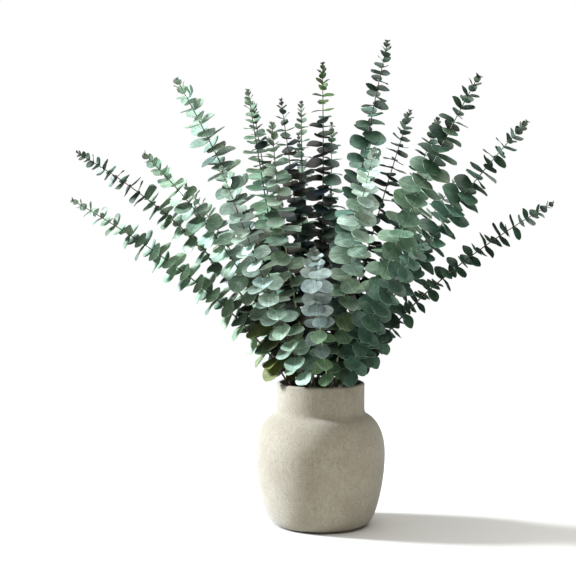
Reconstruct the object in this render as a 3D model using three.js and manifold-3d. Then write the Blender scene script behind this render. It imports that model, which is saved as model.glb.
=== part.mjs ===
// Round-leaved eucalyptus branches standing in a stoneware vase.
// Millimetres, +Z up. The origin is the centre of the vase's base, and -Y is the front.

import * as THREE from "three";
import { mergeVertices } from "three/addons/utils/BufferGeometryUtils.js";
import Module from "manifold-3d";

const wasm = await Module();
wasm.setup();

// Vase
const RIM_HEIGHT = 180;
const WALL = 6;
const FLOOR = 8;
const BASE_RADIUS = 50;
const BODY_RADIUS = 81.3;
const BODY_HEIGHT = 90;
const NECK_RADIUS = 55.5;
const NECK_HEIGHT = 145;
const VASE_SIDES = 26;

// Stems: each crosses the vase on a slant, so that all of them twist past each other
const CROSSING_DEPTH = 172;
const CROSSING_TURN = THREE.MathUtils.degToRad(124);
const CROSSING_FLARE = 1.5;
const STEM_RADIUS_FOOT = 2.2;
const STEM_RADIUS_RIM = 2.1;
const STEM_RADIUS_TIP = 0.9;
const ROOT_DEPTH = 0.45;
const STEM_SIDES = 4;
const STEM_BENDS = 6;
const SEAT_GAP = 0.25;
const LEAST_DEPTH = 40;
const MOST_DEPTH = 300;
const DEPTH_TOLERANCE = 0.01;
const PATH_STEPS = 64;

// Leaves grow in opposite pairs, each pair a quarter turn from the last. One leaf is built
// of three pairs in every five, so they step round the stem.
const BLADE_THICKNESS = 0.8;
const FEWEST_CORNERS = 4;
const CORNER_LENGTHS = [21, 28];
const PAIRS_IN_ROUND = 5;
const PAIRS_BUILT = [0, 1, 3];
const FIRST_PAIR = 1;
const FIRST_SPACING = 5;
const SPACING_GROWTH = 0.65;
const FULL_SPACING = 11.2;
const TIP_SIZE = 0.15;
const GROWING_LENGTH = 120;
const GROWING_PACE = 0.6;
const BARE_LENGTH = 16;
const TIP_LIFT = 52;
const YOUNG_LIFT = 4;
const YOUNG_LENGTH = 70;
const LEAN_TO_FRONT = -0.6;
const TIP_LEAN_SHARE = 0.4;
const LEAN_SHARE = 0.7;
const LEAN_LENGTH = 180;
const LIFT_SWAY = 11;
const SPIN_SWAY = 12;
const ROLL_SWAY = 22;
const SIZE_SWAY = 0.1;
const YOUNG_BREADTH = 0.84;
const OLD_BREADTH = 1.1;
const COVERED_LENGTH = 1;

// Room that a leaf leaves around itself
const LEAF_MARGIN = 2.2;
const OWN_MARGIN = 1.2;
const STEM_MARGIN = 1.6;
const SHOULDER_ROOM = 4;
const RING_SAMPLES = 24;
const STEM_SAMPLE = 4;

// Ways a leaf may give way to its neighbours: spin and lift in degrees, then size
const WAYS = [
  [0, 0, 1], [10, 0, 1], [-10, 0, 1], [0, -14, 1], [0, 14, 1], [20, 0, 1], [-20, 0, 1],
  [10, -24, 1], [-10, -24, 1], [10, 24, 1], [-10, 24, 1], [0, -36, 0.92], [0, 36, 0.92],
  [26, -14, 0.86], [-26, -14, 0.86], [26, 20, 0.86], [-26, 20, 0.86],
  [0, 0, 0.74], [16, -30, 0.74], [-16, -30, 0.74], [16, 40, 0.74], [-16, 40, 0.74],
];

// Tip of each branch, its distance from the axis at the rim, how far it runs on before it
// bows, its full leaf length, the lift of its old leaves, the turn of its first pair and,
// where it isn't the usual one, the length over which its leaves grow
const BRANCHES = {
  branch_front_rosette: { tip: [-11, -190, 354], ring: 40, reach: 0.5, leaf: 17, lift: -8, turn: 20, growing: 55 },
  branch_front_right_pale: { tip: [58, -150, 465], ring: 30, reach: 0.5, leaf: 23, lift: -16, turn: 40, growing: 85 },
  branch_left_front: { tip: [-118, -130, 446], ring: 38, reach: 0.45, leaf: 21, lift: -10, turn: 30 },
  branch_right_tall: { tip: [183, -90, 554], ring: 31, reach: 0.5, leaf: 25, lift: -16, turn: 35 },
  branch_front_left_pale: { tip: [-60, -80, 499], ring: 25, reach: 0.5, leaf: 21, lift: -8, turn: 45 },
  branch_left_tall: { tip: [-174, -60, 553], ring: 23, reach: 0.5, leaf: 23, lift: -10, turn: 30, growing: 75 },
  branch_left_broad: { tip: [-210, -90, 463], ring: 33, reach: 0.5, leaf: 22, lift: -10, turn: 0, growing: 95 },
  branch_tallest: { tip: [83, 10, 605], ring: 10, reach: 0.5, leaf: 22, lift: -8, turn: 10 },
  branch_front_right_low: { tip: [120, -180, 366], ring: 43, reach: 0.45, leaf: 20, lift: -10, turn: 60 },
  branch_right_low: { tip: [252, -20, 504], ring: 37, reach: 0.5, leaf: 24, lift: -10, turn: 15 },
  branch_far_right: { tip: [294, 20, 405], ring: 45, reach: 0.42, leaf: 17, lift: -8, turn: 40, growing: 70 },
  branch_far_left_lower: { tip: [-303, -40, 408], ring: 44, reach: 0.36, leaf: 21, lift: -8, turn: 10, growing: 110 },
  branch_far_left_upper: { tip: [-308, 30, 468], ring: 37, reach: 0.5, leaf: 20, lift: -6, turn: 50, growing: 110 },
  branch_middle_fresh: { tip: [3, 50, 581], ring: 9, reach: 0.5, leaf: 20, lift: -6, turn: 25 },
  branch_right_back: { tip: [151, 60, 511], ring: 32, reach: 0.45, leaf: 21, lift: -10, turn: 0 },
  branch_right_slim: { tip: [118, 90, 523], ring: 23, reach: 0.5, leaf: 19, lift: -8, turn: 50, growing: 80 },
  branch_back_left_tall: { tip: [-92, 60, 548], ring: 26, reach: 0.5, leaf: 21, lift: -8, turn: 70 },
  branch_back_left_inner: { tip: [-50, 80, 537], ring: 17, reach: 0.5, leaf: 20, lift: -8, turn: 20 },
  branch_back_left_low: { tip: [-87, 110, 533], ring: 35, reach: 0.45, leaf: 20, lift: -8, turn: 40 },
  branch_back_middle: { tip: [17, 120, 508], ring: 22, reach: 0.5, leaf: 19, lift: -8, turn: 60 },
  branch_middle_slim: { tip: [-24, 90, 534], ring: 42, reach: 0.42, leaf: 18, lift: -8, turn: 35 },
  branch_back_silver: { tip: [-27, 150, 495], ring: 31, reach: 0.5, leaf: 17, lift: -8, turn: 10 },
  branch_back_right_wide: { tip: [190, 170, 436], ring: 42, reach: 0.4, leaf: 20, lift: -12, turn: 30 },
  branch_back_left_wide: { tip: [-180, 170, 426], ring: 44, reach: 0.4, leaf: 20, lift: -12, turn: 15 },
  branch_back_wide: { tip: [20, 240, 416], ring: 41, reach: 0.4, leaf: 20, lift: -12, turn: 50 },
};

const rad = THREE.MathUtils.degToRad;
const MIX = [127.1, 311.7, 74.7, 269.5];

// A repeatable draw between 0 and 1
function chance(...keys) {
  const total = keys.reduce((sum, key, place) => sum + key * MIX[place], 0);
  const value = Math.sin(total) * 43758.5453;
  return value - Math.floor(value);
}

const sway = (amount, ...keys) => amount * (2 * chance(...keys) - 1);
const between = (low, high, share) => low + (high - low) * share;

function ease(share) {
  const clamped = Math.min(1, Math.max(0, share));
  return clamped * clamped * (3 - 2 * clamped);
}

// Booleans on closed geometries
function toSolid(geometry) {
  const bare = geometry.index ? geometry.toNonIndexed() : geometry.clone();
  for (const name of ["normal", "uv"]) bare.deleteAttribute(name);
  const merged = mergeVertices(bare, 1e-4);
  return new wasm.Manifold(new wasm.Mesh({
    numProp: 3,
    vertProperties: new Float32Array(merged.attributes.position.array),
    triVerts: new Uint32Array(merged.index.array),
  }));
}

function toGeometry(solid) {
  const mesh = solid.getMesh();
  const geometry = new THREE.BufferGeometry();
  geometry.setAttribute("position", new THREE.BufferAttribute(mesh.vertProperties, 3));
  geometry.setIndex(new THREE.BufferAttribute(mesh.triVerts, 1));
  return geometry;
}

// Vase: the outside from the base up to the lip, then the inside down to the floor
function point(radius, height) {
  return new THREE.Vector2(radius, height);
}

function cubic(start, first, second, end, steps) {
  return new THREE.CubicBezierCurve(start, first, second, end).getPoints(steps);
}

function vaseOutside() {
  const cheek = point(68, 13);
  const widest = point(BODY_RADIUS, BODY_HEIGHT);
  const shoulder = point(NECK_RADIUS + 3, NECK_HEIGHT - 5);
  return [
    ...cubic(point(BASE_RADIUS, 0), point(57.5, 0), point(64, 4), cheek, 3),
    ...cubic(cheek, point(75, 31), point(BODY_RADIUS, 62), widest, 4).slice(1),
    ...cubic(widest, point(BODY_RADIUS, 112), point(74.5, 132), shoulder, 4).slice(1),
    point(NECK_RADIUS, NECK_HEIGHT),
  ];
}

function vaseLip() {
  const lip = new THREE.EllipseCurve(
    NECK_RADIUS - WALL / 2, RIM_HEIGHT - WALL / 2, WALL / 2, WALL / 2, 0, Math.PI);
  return lip.getPoints(4);
}

function vaseInside() {
  const shoulder = point(NECK_RADIUS - 0.5, NECK_HEIGHT - 8.5);
  const widest = point(BODY_RADIUS - WALL, BODY_HEIGHT);
  const cheek = point(64, 20);
  return [
    point(NECK_RADIUS - WALL, NECK_HEIGHT),
    ...cubic(shoulder, point(69, 127), point(75.3, 111), widest, 3),
    ...cubic(widest, point(75.3, 66), point(72, 42), cheek, 3).slice(1),
    ...cubic(cheek, point(60, 12), point(54, FLOOR), point(46, FLOOR), 2).slice(1),
  ];
}

const VASE_INSIDE = vaseInside();

function vaseGeometry() {
  const profile = [point(0, 0), ...vaseOutside(), ...vaseLip(), ...VASE_INSIDE, point(0, FLOOR)];
  return new THREE.LatheGeometry(profile, VASE_SIDES).rotateX(Math.PI / 2);
}

// Distance from a place inside the vase to its inner wall or floor
function roomInVase(place) {
  const radius = Math.hypot(place.x, place.y) / Math.cos(Math.PI / VASE_SIDES);
  const outline = [...VASE_INSIDE, point(0, FLOOR)];
  let room = Infinity;
  for (let i = 0; i + 1 < outline.length; i += 1) {
    const along = outline[i + 1].clone().sub(outline[i]);
    const across = point(radius, place.z).sub(outline[i]);
    const share = Math.min(1, Math.max(0, across.dot(along) / along.lengthSq()));
    const gap = across.addScaledVector(along, -share).length();
    const inside = along.x * (place.z - outline[i].y) - along.y * (radius - outline[i].x) < 0;
    room = Math.min(room, inside ? gap : -gap);
  }
  return room;
}

// The path of a branch: straight from its foot through the rim, then a bow out to its tip
class Path {
  constructor(plan) {
    const turnX = 1 - CROSSING_FLARE * Math.cos(CROSSING_TURN);
    const turnY = -CROSSING_FLARE * Math.sin(CROSSING_TURN);
    const lean = plan.ring * Math.hypot(turnX, turnY) / CROSSING_DEPTH;
    const swirl = Math.atan2(turnY, turnX);
    const rimAngle = Math.atan2(plan.tip[1], plan.tip[0]) - swirl / 2;
    const heading = rimAngle + swirl;
    this.tip = new THREE.Vector3(...plan.tip);
    this.rim = new THREE.Vector3(
      plan.ring * Math.cos(rimAngle), plan.ring * Math.sin(rimAngle), RIM_HEIGHT);
    this.rise = new THREE.Vector3(
      lean * Math.cos(heading), lean * Math.sin(heading), 1).normalize();
    const reach = plan.reach * this.rim.distanceTo(this.tip);
    this.knee = this.rim.clone().addScaledVector(this.rise, reach);
    const chord = this.tip.clone().sub(this.rim);
    this.side = this.rise.clone().cross(chord).normalize();
    this.measure();
    this.foot = this.findFoot();
  }

  at(share) {
    const rest = 1 - share;
    return new THREE.Vector3()
      .addScaledVector(this.rim, rest * rest)
      .addScaledVector(this.knee, 2 * rest * share)
      .addScaledVector(this.tip, share * share);
  }

  along(share) {
    return new THREE.Vector3()
      .addScaledVector(this.rim, share - 1)
      .addScaledVector(this.knee, 1 - 2 * share)
      .addScaledVector(this.tip, share)
      .normalize();
  }

  measure() {
    this.lengths = [0];
    for (let i = 1; i <= PATH_STEPS; i += 1) {
      const step = this.at(i / PATH_STEPS).distanceTo(this.at((i - 1) / PATH_STEPS));
      this.lengths.push(this.lengths[i - 1] + step);
    }
    this.length = this.lengths[PATH_STEPS];
  }

  shareAt(distance) {
    let i = 1;
    while (i < PATH_STEPS && this.lengths[i] < distance) i += 1;
    const step = this.lengths[i] - this.lengths[i - 1];
    return (i - 1 + (distance - this.lengths[i - 1]) / step) / PATH_STEPS;
  }

  radius(share) {
    return between(STEM_RADIUS_RIM, STEM_RADIUS_TIP, share);
  }

  // The middle of the stem as built, in straight lengths between its bends
  straightened(share) {
    const bend = Math.min(STEM_BENDS - 1, Math.floor(share * STEM_BENDS));
    const start = this.at(bend / STEM_BENDS);
    return start.lerp(this.at((bend + 1) / STEM_BENDS), share * STEM_BENDS - bend);
  }

  below(depth) {
    return this.rim.clone().addScaledVector(this.rise, -depth);
  }

  // The cut end meets the wall or the floor of the vase
  findFoot() {
    const across = this.side.clone().cross(this.rise);
    const roomAt = (depth) => {
      let room = Infinity;
      for (let i = 0; i < RING_SAMPLES; i += 1) {
        const angle = 2 * Math.PI * i / RING_SAMPLES;
        const edge = this.below(depth)
          .addScaledVector(across, STEM_RADIUS_FOOT * Math.sin(angle))
          .addScaledVector(this.side, STEM_RADIUS_FOOT * Math.cos(angle));
        room = Math.min(room, roomInVase(edge));
      }
      return room;
    };
    let clear = LEAST_DEPTH;
    let blocked = MOST_DEPTH;
    while (blocked - clear > DEPTH_TOLERANCE) {
      const middle = (clear + blocked) / 2;
      if (roomAt(middle) > SEAT_GAP) clear = middle;
      else blocked = middle;
    }
    return this.below(clear);
  }
}

// Stem: a closed cylinder laid along the path, thinner towards the tip
function stemGeometry(path, plan) {
  const flatSide = rad(90 - (plan.turn + 45));
  const stem = new THREE.CylinderGeometry(
    1, 1, STEM_BENDS + 1, STEM_SIDES, STEM_BENDS + 1, false, flatSide);
  const corners = stem.attributes.position;
  for (let i = 0; i < corners.count; i += 1) {
    const station = Math.round(corners.getY(i) + (STEM_BENDS + 1) / 2);
    const share = Math.max(0, station - 1) / STEM_BENDS;
    const centre = station === 0 ? path.foot.clone() : path.at(share);
    const radius = station === 0 ? STEM_RADIUS_FOOT : path.radius(share);
    const forward = path.along(share);
    const across = forward.clone().cross(path.side);
    centre.addScaledVector(across, corners.getX(i) * radius);
    centre.addScaledVector(path.side, corners.getZ(i) * radius);
    corners.setXYZ(i, centre.x, centre.y, centre.z);
  }
  return stem;
}

// Leaf: where it grows, which way it points and faces, and how large it is. Whichever way
// their stem leans, the pairs tip over to the front, the older ones further.
function leafOn(path, plan, branch, pair, side, distance, way) {
  const fromTip = path.length - distance;
  const share = path.shareAt(distance);
  const axis = path.along(share);
  const lean = between(TIP_LEAN_SHARE, LEAN_SHARE, ease(fromTip / LEAN_LENGTH));
  axis.setY(between(axis.y, LEAN_TO_FRONT, lean)).normalize();
  const young = ease(fromTip / YOUNG_LENGTH);
  const old = ease((fromTip - YOUNG_LENGTH) / (path.length - YOUNG_LENGTH));
  const lift = rad(between(between(TIP_LIFT, YOUNG_LIFT, young), plan.lift, old)
    + sway(LIFT_SWAY, branch, pair, side, 1) + way[1]);
  const spin = rad(plan.turn + 90 * pair + 180 * side + sway(SPIN_SWAY, branch, pair, side, 2) + way[0]);
  const sideways = path.side.clone().addScaledVector(axis, -path.side.dot(axis)).normalize();
  const out = axis.clone().cross(sideways).multiplyScalar(Math.cos(spin))
    .addScaledVector(sideways, Math.sin(spin));
  const along = out.clone().multiplyScalar(Math.cos(lift)).addScaledVector(axis, Math.sin(lift));
  const flat = axis.clone().multiplyScalar(Math.cos(lift)).addScaledVector(out, -Math.sin(lift));
  const roll = rad(sway(ROLL_SWAY, branch, pair, side, 3));
  const facing = flat.clone().multiplyScalar(Math.cos(roll))
    .addScaledVector(along.clone().cross(flat), Math.sin(roll));
  const growing = plan.growing ?? GROWING_LENGTH;
  const grown = between(TIP_SIZE, 1, Math.min(1, fromTip / growing) ** GROWING_PACE);
  const length = plan.leaf * grown * way[2] * (1 + sway(SIZE_SWAY, branch, pair, side, 4))
    + COVERED_LENGTH;
  const width = length * between(YOUNG_BREADTH, OLD_BREADTH, grown);
  const root = path.at(share).addScaledVector(out, path.radius(share) * ROOT_DEPTH);
  return {
    branch, pair, share, root, along, facing, length, width,
    centre: root.clone().addScaledVector(along, length / 2),
    reach: Math.max(length, width) / 2,
  };
}

function ringOf(leaf) {
  const across = leaf.facing.clone().cross(leaf.along);
  const ring = [];
  for (let i = 0; i < RING_SAMPLES; i += 1) {
    const angle = 2 * Math.PI * i / RING_SAMPLES;
    ring.push(leaf.centre.clone()
      .addScaledVector(leaf.along, leaf.reach * Math.cos(angle))
      .addScaledVector(across, leaf.reach * Math.sin(angle)));
  }
  return ring;
}

function distanceToDisc(place, leaf) {
  const offset = place.clone().sub(leaf.centre);
  const height = offset.dot(leaf.facing);
  const outward = offset.addScaledVector(leaf.facing, -height).length() - leaf.reach;
  return Math.hypot(height, Math.max(0, outward));
}

function leavesClash(leaf, other) {
  const margin = leaf.branch === other.branch ? OWN_MARGIN : LEAF_MARGIN;
  if (leaf.centre.distanceTo(other.centre) > leaf.reach + other.reach + margin) return false;
  return leaf.ring.some((place) => distanceToDisc(place, other) < margin)
    || other.ring.some((place) => distanceToDisc(place, leaf) < margin);
}

// Leaves keep above the rim, or hang clear outside the neck
function meetsVase(leaf) {
  return leaf.ring.some((place) => {
    const radius = Math.hypot(place.x, place.y);
    const beside = radius > NECK_RADIUS + LEAF_MARGIN && place.z > NECK_HEIGHT + SHOULDER_ROOM;
    return place.z < RIM_HEIGHT + LEAF_MARGIN && !beside;
  });
}

function leafFits(leaf, placed, stems) {
  if (meetsVase(leaf)) return false;
  if (placed.some((other) => leavesClash(leaf, other))) return false;
  return !stems.some((spot) => spot.branch !== leaf.branch
    && distanceToDisc(spot.place, leaf) < spot.radius + STEM_MARGIN);
}

// Pairs stand closest together at the tip
function pairDistances(path) {
  const distances = [];
  let fromTip = FIRST_PAIR;
  while (fromTip < path.length - BARE_LENGTH) {
    distances.push(path.length - fromTip);
    fromTip += Math.min(FULL_SPACING, FIRST_SPACING + SPACING_GROWTH * (distances.length - 1));
  }
  return distances;
}

function stemSpots(paths) {
  const spots = [];
  paths.forEach((path, branch) => {
    const count = Math.ceil(path.length / STEM_SAMPLE);
    for (let i = 0; i <= count; i += 1) {
      const share = i / count;
      spots.push({ branch, place: path.at(share), radius: path.radius(share) });
    }
  });
  return spots;
}

// All branches fill up together, from their tips down, and the front ones come first
function growLeaves(paths, plans) {
  const stems = stemSpots(paths);
  const places = paths.map(pairDistances);
  const longest = Math.max(...places.map((list) => list.length));
  const placed = [];
  for (let pair = 0; pair < longest; pair += 1) {
    if (!PAIRS_BUILT.includes(pair % PAIRS_IN_ROUND)) continue;
    const side = Math.floor(pair / PAIRS_IN_ROUND) % 2;
    places.forEach((list, branch) => {
      if (pair >= list.length) return;
      for (const way of WAYS) {
        const leaf = leafOn(paths[branch], plans[branch], branch, pair, side, list[pair], way);
        leaf.ring = ringOf(leaf);
        if (leafFits(leaf, placed, stems)) {
          placed.push(leaf);
          break;
        }
      }
    });
  }
  return placed;
}

// Blade: a flat round plate with one corner sunk in the stem
function bladeGeometry(leaf, path) {
  const corners = FEWEST_CORNERS + CORNER_LENGTHS.filter((limit) => leaf.length >= limit).length;
  const outline = new THREE.Shape();
  for (let i = 0; i < corners; i += 1) {
    const angle = Math.PI - 2 * Math.PI * i / corners;
    const x = leaf.length * (0.5 + 0.5 * Math.cos(angle));
    const y = leaf.width * 0.5 * Math.sin(angle);
    if (i === 0) outline.moveTo(x, y);
    else outline.lineTo(x, y);
  }
  const blade = new THREE.ExtrudeGeometry(outline, { depth: BLADE_THICKNESS, bevelEnabled: false });
  blade.translate(0, 0, -BLADE_THICKNESS / 2);
  const across = leaf.facing.clone().cross(leaf.along);
  const place = new THREE.Matrix4().makeBasis(leaf.along, across, leaf.facing);
  const seat = leaf.root.clone().add(path.straightened(leaf.share)).sub(path.at(leaf.share));
  return blade.applyMatrix4(place.setPosition(seat));
}

function branchGeometry(path, plan, leaves) {
  const stem = toSolid(stemGeometry(path, plan));
  const blades = leaves.map((leaf) => toSolid(bladeGeometry(leaf, path)));
  return toGeometry(wasm.Manifold.union([stem, ...blades]));
}

// The whole object
const stoneware = new THREE.MeshStandardMaterial({ color: 0xcfc9bd, roughness: 0.9, metalness: 0 });
const foliage = new THREE.MeshStandardMaterial({ color: 0x7d9c8c, roughness: 0.7, metalness: 0 });

const plans = Object.values(BRANCHES);
const paths = plans.map((plan) => new Path(plan));
const leaves = growLeaves(paths, plans);

const bouquet = new THREE.Group();
const vase = new THREE.Mesh(vaseGeometry(), stoneware);
vase.name = "vase";
bouquet.add(vase);
Object.keys(BRANCHES).forEach((name, branch) => {
  const own = leaves.filter((leaf) => leaf.branch === branch);
  const mesh = new THREE.Mesh(branchGeometry(paths[branch], plans[branch], own), foliage.clone());
  mesh.name = name;
  bouquet.add(mesh);
});

export default bouquet;
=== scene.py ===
"""Round-leaved eucalyptus branches in a stoneware vase.

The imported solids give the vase, the middle line of every branch and the leaves that it grew
first. This script grows the same leaves again, fills in the rest of every pair, and gives the
vase, the stems and the leaves their finished shape and surface.
"""

import math
from functools import cache
from typing import NamedTuple

import bmesh
import bpy
import numpy as np
from bpy.props import FloatProperty, FloatVectorProperty, IntProperty, PointerProperty
from mathutils import Matrix, Vector


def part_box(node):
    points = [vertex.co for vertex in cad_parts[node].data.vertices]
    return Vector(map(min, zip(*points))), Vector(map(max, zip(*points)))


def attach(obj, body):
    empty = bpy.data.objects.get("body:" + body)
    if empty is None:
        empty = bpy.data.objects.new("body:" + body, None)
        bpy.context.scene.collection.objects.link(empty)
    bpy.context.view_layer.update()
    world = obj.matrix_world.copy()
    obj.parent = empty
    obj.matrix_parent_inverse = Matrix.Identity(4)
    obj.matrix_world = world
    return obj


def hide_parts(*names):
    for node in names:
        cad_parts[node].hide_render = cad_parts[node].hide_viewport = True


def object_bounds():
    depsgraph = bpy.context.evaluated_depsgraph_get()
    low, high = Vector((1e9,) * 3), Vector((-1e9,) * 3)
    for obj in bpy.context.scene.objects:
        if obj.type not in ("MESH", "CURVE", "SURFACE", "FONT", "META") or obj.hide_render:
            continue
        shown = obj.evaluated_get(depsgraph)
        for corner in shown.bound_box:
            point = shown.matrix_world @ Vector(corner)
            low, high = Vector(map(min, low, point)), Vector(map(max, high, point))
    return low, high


bl_info = {
    "name": "Eucalyptus in a stoneware vase",
    "version": (1, 0, 0),
    "blender": (4, 5, 0),
    "location": "3D View > Sidebar > Eucalyptus",
    "description": "Builds round-leaved eucalyptus branches standing in a stoneware vase",
    "category": "Add Mesh",
}

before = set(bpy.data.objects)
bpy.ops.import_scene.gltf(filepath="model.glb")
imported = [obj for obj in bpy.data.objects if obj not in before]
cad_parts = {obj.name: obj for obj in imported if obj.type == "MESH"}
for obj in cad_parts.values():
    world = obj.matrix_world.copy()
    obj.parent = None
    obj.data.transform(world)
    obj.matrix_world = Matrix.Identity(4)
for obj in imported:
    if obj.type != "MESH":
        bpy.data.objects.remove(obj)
CAD_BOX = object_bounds()
MM = 0.001

# Vase, in millimetres, as its solid is
RIM_HEIGHT = 180
WALL = 6
FLOOR = 8
BASE_RADIUS = 50
BODY_RADIUS = 81.3
BODY_HEIGHT = 90
NECK_RADIUS = 55.5
NECK_HEIGHT = 145
CURVE_STEPS = 12
NECK_CURVE_STEPS = 5

# Stems, in millimetres: the solids' straight runs cross in the vase and grip the leaves' roots
CROSSING_DEPTH = 172
CROSSING_TURN = math.radians(124)
CROSSING_FLARE = 1.5
GRIP_RADIUS_RIM = 2.1
GRIP_RADIUS_TIP = 0.9
ROOT_DEPTH = 0.45
PATH_STEPS = 64
FOOT_RISE = 1.2
STRAIGHT_STEPS = 8
NODE_LENGTH = 1.7
END_CLEAR = 0.1
END_TAPER = 0.6
SHOOT_START = 0.75

# Leaves: where pairs stand, how leaves grow from the tip, and how far each one strays
FIRST_PAIR = 1
FIRST_SPACING = 5
SPACING_GROWTH = 0.65
FULL_SPACING = 11.2
TIP_SIZE = 0.15
GROWING_LENGTH = 120
GROWING_PACE = 0.6
BARE_LENGTH = 16
TIP_LIFT = 52
YOUNG_LIFT = 4
YOUNG_LENGTH = 70
LEAN_TO_FRONT = -0.6
TIP_LEAN_SHARE = 0.4
LEAN_SHARE = 0.7
LEAN_LENGTH = 180
LIFT_SWAY = 11
SPIN_SWAY = 12
ROLL_SWAY = 22
SIZE_SWAY = 0.1
YOUNG_BREADTH = 0.84
OLD_BREADTH = 1.1
COVERED_LENGTH = 1

# The pairs in every round of which the solids already have one leaf
PAIRS_IN_ROUND = 5
PAIRS_BUILT = (0, 1, 3)

# Room that a leaf leaves to those of other branches, to those of its own and to stems: the first
# leaves keep the room that they have in the solids
FIRST_ROOM = (2.2, 1.2, 1.6)
LATER_ROOM = (0.4, 0.3, 0.3)
NECK_ROOM = 2.2
SHOULDER_ROOM = 4
BOX_ROOM = 0.5
RING_SAMPLES = 24
STEM_SAMPLE = 4
LEAF_LIMIT = 2400

# Painted shade: leaves inside the bunch get a darker colour where other leaves would shade them.
# Light is taken to come in from all round at this steepness, and leaves within the reach and slope
# of that line shade a leaf: from the open count on, and at the full count the most
LIGHT_STEEPNESS = 0.6
COVER_SLOPE = 0.7
COVER_REACH = 90
OPEN_COVER = 11
FULL_COVER = 27
PAINTED_SHADE_DEPTH = 0.96

# Ways a leaf may give way to its neighbours: spin and lift in degrees, then size
WAYS = [
    (0, 0, 1), (10, 0, 1), (-10, 0, 1), (0, -14, 1), (0, 14, 1), (20, 0, 1), (-20, 0, 1),
    (10, -24, 1), (-10, -24, 1), (10, 24, 1), (-10, 24, 1), (0, -36, 0.92), (0, 36, 0.92),
    (26, -14, 0.86), (-26, -14, 0.86), (26, 20, 0.86), (-26, 20, 0.86),
    (0, 0, 0.74), (16, -30, 0.74), (-16, -30, 0.74), (16, 40, 0.74), (-16, 40, 0.74),
]
TIGHT_WAYS = [(0, -50, 0.8), (0, 55, 0.8), (0, 0, 0.6), (20, -40, 0.6), (-20, 40, 0.6)]

# Tip: two pairs of leaflets that have hardly opened, with their length, lift and spin
TIP_LEAFLETS = ((4.6, 66, 0), (4.6, 62, 180), (3.2, 78, 90), (3.2, 74, 270))
TIP_TURN = 45
TIP_BREADTH = 0.55
TIP_SEAT = 0.2

# Each leaf's draws are told apart by these
LIFT_DRAW, SPIN_DRAW, ROLL_DRAW, SIZE_DRAW = 1, 2, 3, 4
SHAPE_DRAW, TONE_DRAW, WARMTH_DRAW, HEIGHT_DRAW = 5, 6, 7, 8
DRAW_MIX = (127.1, 311.7, 74.7, 269.5)
DRAW_SCALE = 43758.5453

# Where a branch's finishes change, with the length of each change, as shares of the branch
OLD_CHANGE = (0.4, 0.2)
YOUNG_CHANGE = (0.7, 0.15)
BUD_CHANGE = (0.94, 0.05)
BUD_SHARE = 0.35

# How far the colour of single leaves strays, and how it differs underneath
HEIGHT_SWAY = 0.12
WARMTH_SWAY = 0.045
TONE_SWAY = 0.3
UNDERSIDE_WAX = 0.1


class Branch(NamedTuple):
    """Tip, distance from the axis at the rim, run before the bow, leaf length, lift and turn of
    the leaves, then the finishes of the leaves at the tip, middle and foot, and of the stem, and
    the length over which the leaves grow."""

    tip: tuple
    ring: float
    reach: float
    leaf: float
    lift: float
    turn: float
    leaves: str
    stem: str
    growing: float = GROWING_LENGTH


BRANCHES = {
    "front_rosette": Branch((-11, -190, 354), 40, 0.5, 17, -8, 20, "silver silver jade", "pale", 55),
    "front_right_pale": Branch((58, -150, 465), 30, 0.5, 23, -16, 40, "frost mint jade", "pale", 85),
    "left_front": Branch((-118, -130, 446), 38, 0.45, 21, -10, 30, "mint frost mint", "brown"),
    "right_tall": Branch((183, -90, 554), 31, 0.5, 25, -16, 35, "deep sage teal", "grey"),
    "front_left_pale": Branch((-60, -80, 499), 25, 0.5, 21, -8, 45, "sage mint jade", "pale"),
    "left_tall": Branch((-174, -60, 553), 23, 0.5, 23, -10, 30, "mint mint sage", "brown", 75),
    "left_broad": Branch((-210, -90, 463), 33, 0.5, 22, -10, 0, "sage mint olive", "brown", 95),
    "tallest": Branch((83, 10, 605), 10, 0.5, 22, -8, 10, "deep teal teal", "brown"),
    "front_right_low": Branch((120, -180, 366), 43, 0.45, 20, -10, 60, "teal teal teal", "grey"),
    "right_low": Branch((252, -20, 504), 37, 0.5, 24, -10, 15, "deep teal teal", "grey"),
    "far_right": Branch((294, 20, 405), 45, 0.42, 17, -8, 40, "deep deep teal", "brown", 70),
    "far_left_lower": Branch((-303, -40, 408), 44, 0.36, 21, -8, 10, "sage sage olive", "brown", 110),
    "far_left_upper": Branch((-308, 30, 468), 37, 0.5, 20, -6, 50, "deep sage mint", "brown", 110),
    "middle_fresh": Branch((3, 50, 581), 9, 0.5, 20, -6, 25, "fresh teal teal", "grey"),
    "right_back": Branch((151, 60, 511), 32, 0.45, 21, -10, 0, "deep teal teal", "grey"),
    "right_slim": Branch((118, 90, 523), 23, 0.5, 19, -8, 50, "deep deep teal", "grey", 80),
    "back_left_tall": Branch((-92, 60, 548), 26, 0.5, 21, -8, 70, "sage sage teal", "brown"),
    "back_left_inner": Branch((-50, 80, 537), 17, 0.5, 20, -8, 20, "deep sage sage", "grey"),
    "back_left_low": Branch((-87, 110, 533), 35, 0.45, 20, -8, 40, "deep sage sage", "brown"),
    "back_middle": Branch((17, 120, 508), 22, 0.5, 19, -8, 60, "sage teal teal", "grey"),
    "middle_slim": Branch((-24, 90, 534), 42, 0.42, 18, -8, 35, "sage teal teal", "grey"),
    "back_silver": Branch((-27, 150, 495), 31, 0.5, 17, -8, 10, "silver sage teal", "grey"),
    "back_right_wide": Branch((190, 170, 436), 42, 0.4, 20, -12, 30, "deep teal teal", "brown"),
    "back_left_wide": Branch((-180, 170, 426), 44, 0.4, 20, -12, 15, "sage mint sage", "brown"),
    "back_wide": Branch((20, 240, 416), 41, 0.4, 20, -12, 50, "teal sage teal", "grey"),
}

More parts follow.
